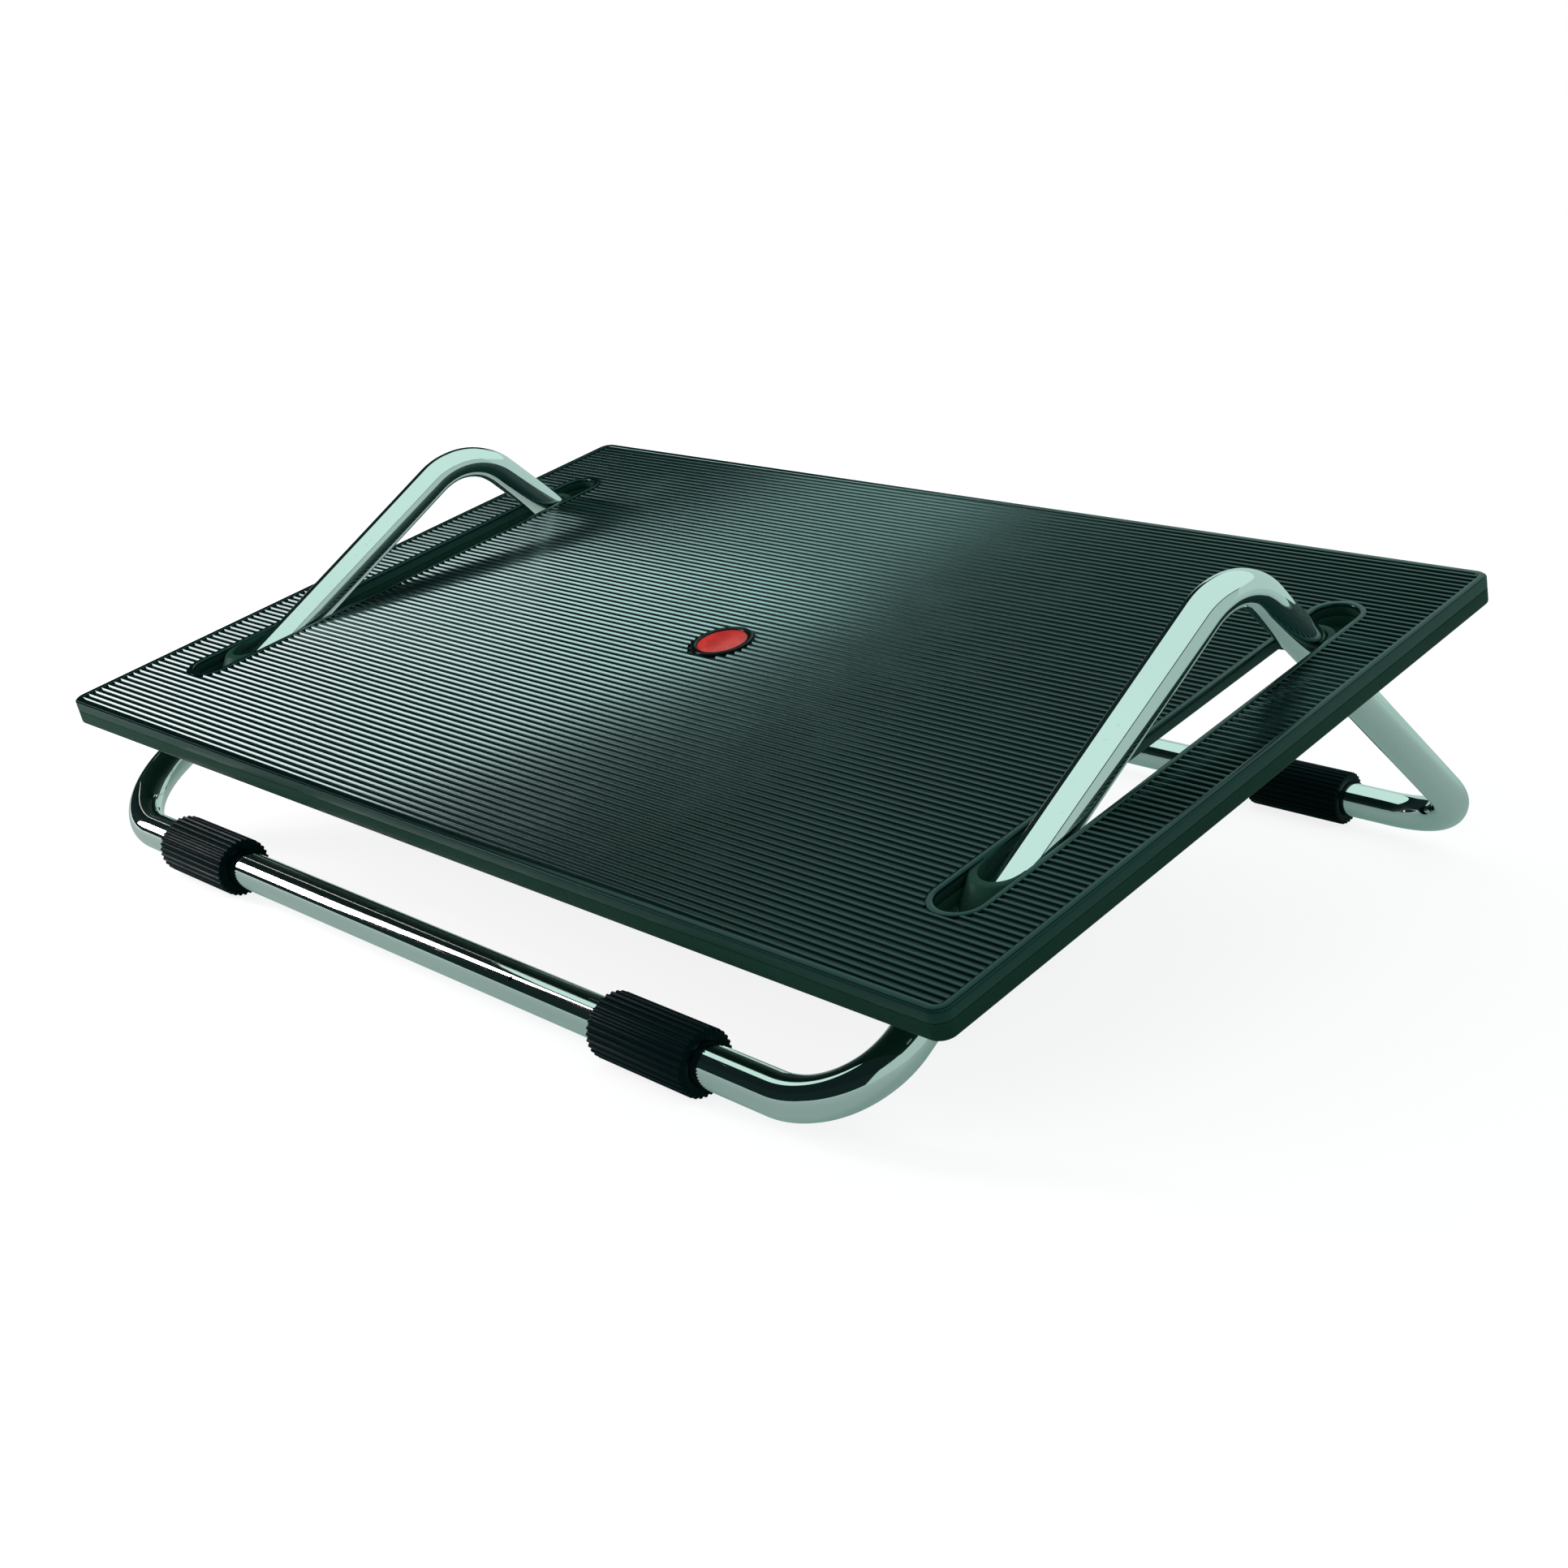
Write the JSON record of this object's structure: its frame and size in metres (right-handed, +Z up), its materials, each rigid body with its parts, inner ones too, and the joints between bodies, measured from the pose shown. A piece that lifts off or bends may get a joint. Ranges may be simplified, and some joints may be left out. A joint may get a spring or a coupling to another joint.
{
  "type": "rocking footrest",
  "caption": "Wide ribbed plate that rocks on two bent tube arches passing through its slots, on a round tube floor frame with fluted sleeves.",
  "frame": {"origin": "on the floor, under the middle of the footrest's overall box", "axes": "+X along the plate's width, +Y from the front edge to the rear, +Z up"},
  "size_m": [0.48, 0.381, 0.1428],
  "materials": {
    "chrome_tube": "polished bright plating",
    "bare_steel": "bare drawn tube",
    "sleeve_black": "satin fluted",
    "tread_green": "ribbed, satin",
    "tray_green": "fine texture, satin",
    "badge_black": "glossy",
    "badge_red": "glossy, plain",
    "screw_steel": "zinc plated"
  },
  "bodies": {
    "frame": {"frame_left": "chrome_tube", "frame_right": "chrome_tube", "front_spigot": "bare_steel", "rear_spigot": "bare_steel", "sleeve_front_left": "sleeve_black", "sleeve_front_right": "sleeve_black", "sleeve_rear_left": "sleeve_black", "sleeve_rear_right": "sleeve_black"},
    "deck": {"tread_plate": "tread_green", "base_tray": "tray_green", "badge_bezel": "badge_black", "badge_inlay": "badge_red", "deck_screws": "screw_steel"}
  },
  "joints": [
    {"name": "plate_rock", "type": "hinge", "parent": "frame", "child": "deck", "pos_m": [0, -0.02558, -0.04701], "axis": [1, 0, 0], "range_deg": [-14.6, 0]}
  ]
}
